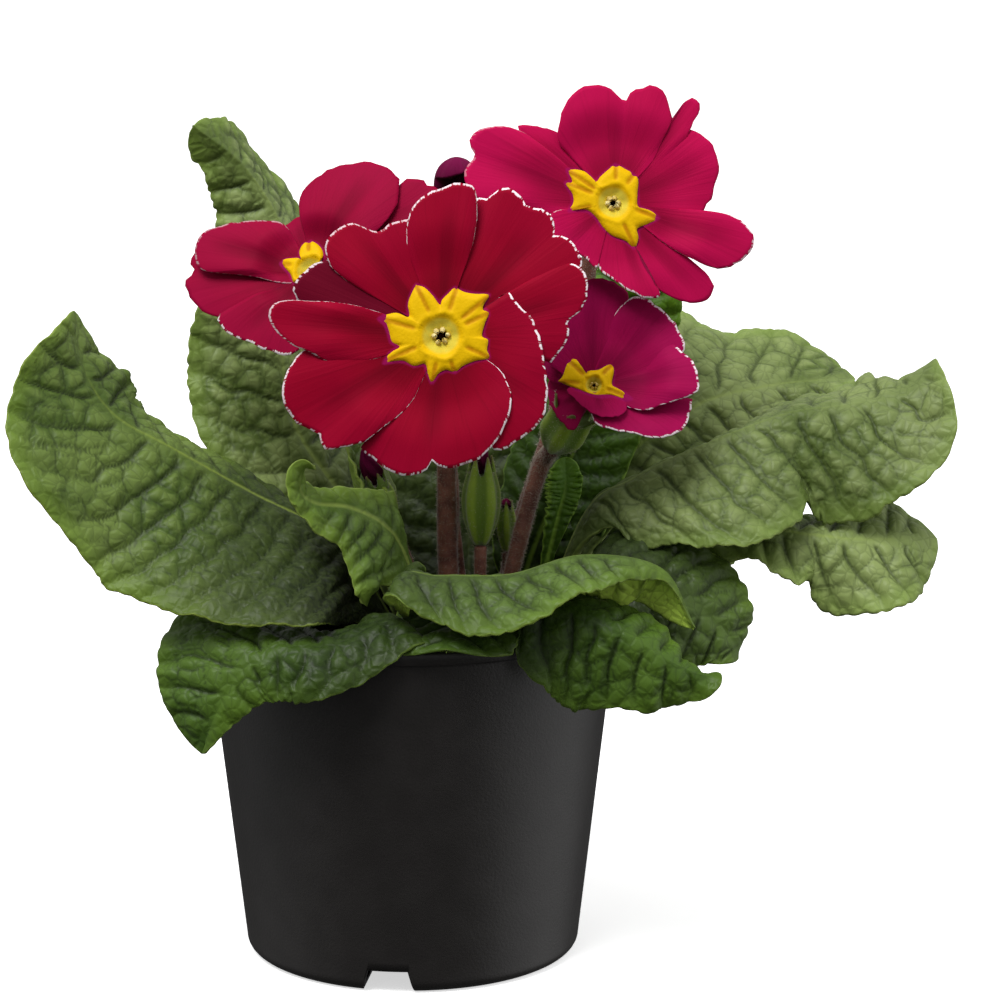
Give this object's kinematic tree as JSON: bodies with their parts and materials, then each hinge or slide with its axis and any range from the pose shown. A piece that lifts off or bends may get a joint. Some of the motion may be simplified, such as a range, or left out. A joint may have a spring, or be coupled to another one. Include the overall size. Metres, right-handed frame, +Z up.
{
  "type": "potted primrose",
  "caption": "Primrose in a round tapered nursery pot: a rosette of large wrinkled leaves with waved edges, round layered red blooms with a star-shaped yellow eye, and buds.",
  "frame": {"origin": "middle of the pot's flat underside", "axes": "+Z up along the pot's axis, -Y towards the front, which the tallest blooms face, +X to the viewer's right when looking from the front"},
  "size_m": [0.1968, 0.1356, 0.1876],
  "materials": {
    "pot": "satin moulded plastic, near black",
    "soil": "peat, matt",
    "leaf": "wrinkled, slightly waxy leaf",
    "leaf_pale": "wrinkled leaf with a pale sheen",
    "leaf_young": "young leaf, waxy",
    "petal": "velvety crimson petal",
    "petal_magenta": "velvety magenta petal",
    "petal_bud": "velvety dark purple petal",
    "eye": "golden yellow, matt",
    "calyx": "soft hairy calyx",
    "stem": "hairy reddish-brown stem"
  },
  "bodies": {
    "root": {"pot": "pot", "soil": "soil", "leaf_left": "leaf", "leaf_back_left": "leaf_pale", "leaf_front_left": "leaf", "leaf_young_left": "leaf_young", "leaf_front": "leaf", "leaf_front_low": "leaf", "leaf_front_right": "leaf", "leaf_right_low": "leaf", "leaf_right": "leaf_pale", "leaf_back_right": "leaf_pale", "leaf_right_lower": "leaf", "leaf_crown_crinkled": "leaf_young", "leaf_crown_back": "leaf_young", "leaf_crown_left": "leaf_young", "leaf_back": "leaf", "leaf_back_low_left": "leaf", "leaf_back_low_right": "leaf", "leaf_left_low": "leaf", "petals_front": "petal", "eye_front": "eye", "calyx_front": "calyx", "stem_front": "stem", "petals_left": "petal", "eye_left": "eye", "calyx_left": "calyx", "stem_left": "stem", "petals_back": "petal_magenta", "eye_back": "eye", "calyx_back": "calyx", "stem_back": "stem", "petals_right": "petal_magenta", "eye_right": "eye", "calyx_right": "calyx", "stem_right": "stem", "stem_bud_green_front": "stem", "calyx_bud_green_front": "calyx", "petals_bud_green_front": "petal_bud", "stem_bud_green_back": "stem", "calyx_bud_green_back": "calyx", "petals_bud_green_back": "petal_bud", "stem_bud_purple_left": "stem", "calyx_bud_purple_left": "calyx", "petals_bud_purple_left": "petal_bud", "stem_bud_purple_back": "stem", "calyx_bud_purple_back": "calyx", "petals_bud_purple_back": "petal_bud"}
  },
  "joints": []
}
